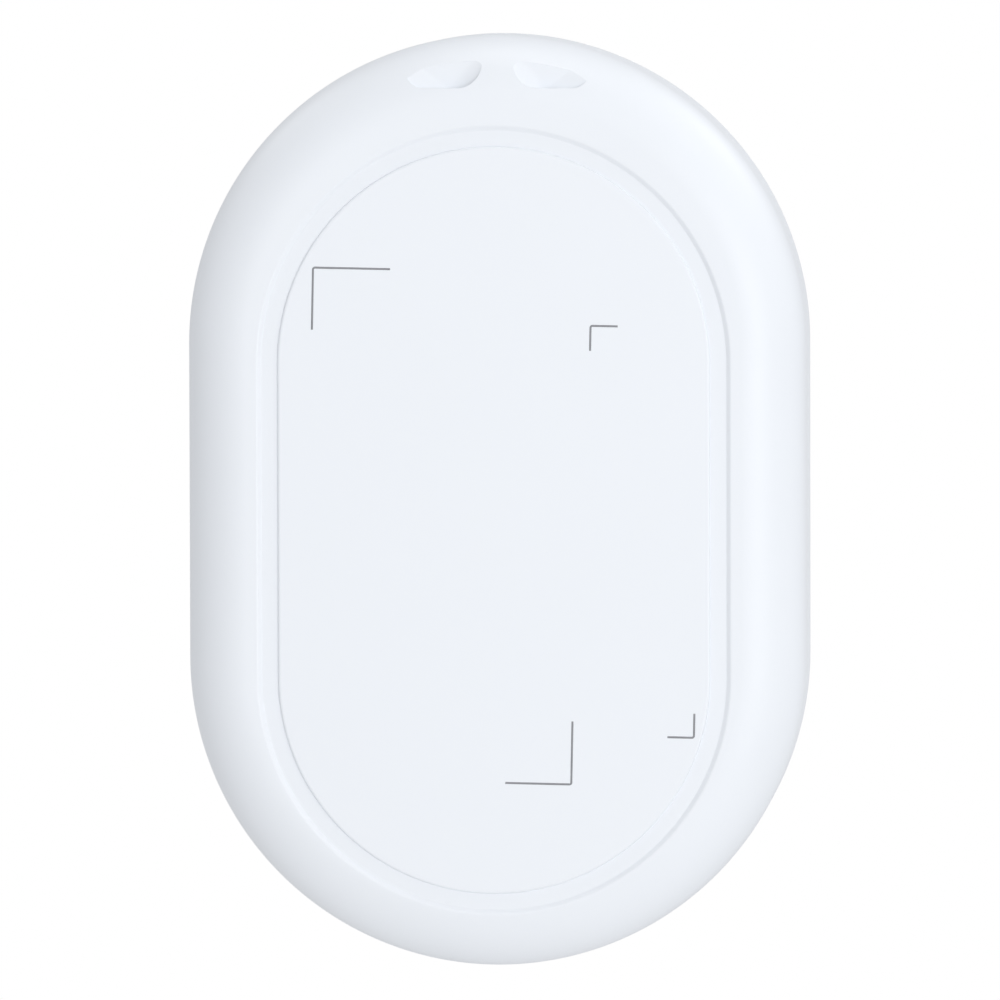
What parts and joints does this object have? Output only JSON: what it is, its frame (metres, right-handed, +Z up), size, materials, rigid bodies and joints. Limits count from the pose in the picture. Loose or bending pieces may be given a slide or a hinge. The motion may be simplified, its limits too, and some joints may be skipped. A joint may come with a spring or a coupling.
{
  "type": "panic button",
  "caption": "Stadium-shaped wearable panic button: rounded two-part case, rear label plate in a recess, two shallow teardrop wells at the top, sprung red cap in a light ring on the front.",
  "frame": {"origin": "middle of the closed case", "axes": "+Z up the case towards the end with the two wells, -Y out of the rear face with the label plate, +Y out of the button side, +X to the right seen from the rear"},
  "size_m": [0.061, 0.0208, 0.092],
  "materials": {
    "white_abs": "fine satin moulded ABS",
    "label_film": "satin printable film",
    "red_abs": "satin moulded ABS",
    "clear_polycarbonate": "frosted, translucent",
    "grey_silicone": "matt",
    "black_nylon": "matt moulded",
    "zinc_steel": "zinc plated",
    "tinned_steel": "tinned sheet",
    "board_laminate": "green solder mask",
    "led_package": "clear resin",
    "ceramic": "fired ceramic",
    "chip_resin": "moulded epoxy"
  },
  "bodies": {
    "housing": {"rear_cover": "white_abs", "front_cover": "white_abs", "label_plate": "label_film", "case_seal": "grey_silicone", "case_screws": "zinc_steel", "light_ring": "clear_polycarbonate", "button_membrane": "grey_silicone", "membrane_clamp": "black_nylon", "clamp_screws": "zinc_steel", "circuit_board": "board_laminate", "switch_base": "black_nylon", "switch_frame": "tinned_steel", "switch_dome": "tinned_steel", "switch_leads": "tinned_steel", "coin_cell": "tinned_steel", "battery_holder": "black_nylon", "positive_clip": "tinned_steel", "negative_contact": "tinned_steel", "status_leds": "led_package", "radio_board": "board_laminate", "radio_shield": "tinned_steel", "chip_antenna": "ceramic", "controller_chip": "chip_resin", "quartz_crystal": "tinned_steel", "capacitors": "ceramic", "resistors": "chip_resin"},
    "button": {"button_cap": "red_abs"},
    "stem": {"switch_stem": "black_nylon"}
  },
  "joints": [
    {"name": "button_press", "type": "slide", "parent": "housing", "child": "button", "axis": [0, -1, 0], "range_m": [0, 0.0005], "stiffness_N_per_m": 2000, "springref_m": -0.0005, "deforming": ["button_membrane"]},
    {"name": "stem_press", "type": "slide", "parent": "housing", "child": "stem", "axis": [0, -1, 0], "range_m": [0, 0.0005], "deforming": ["switch_dome"]}
  ],
  "couplings": [
    {"joint": "stem_press", "follows": "button_press", "ratio": 1}
  ]
}
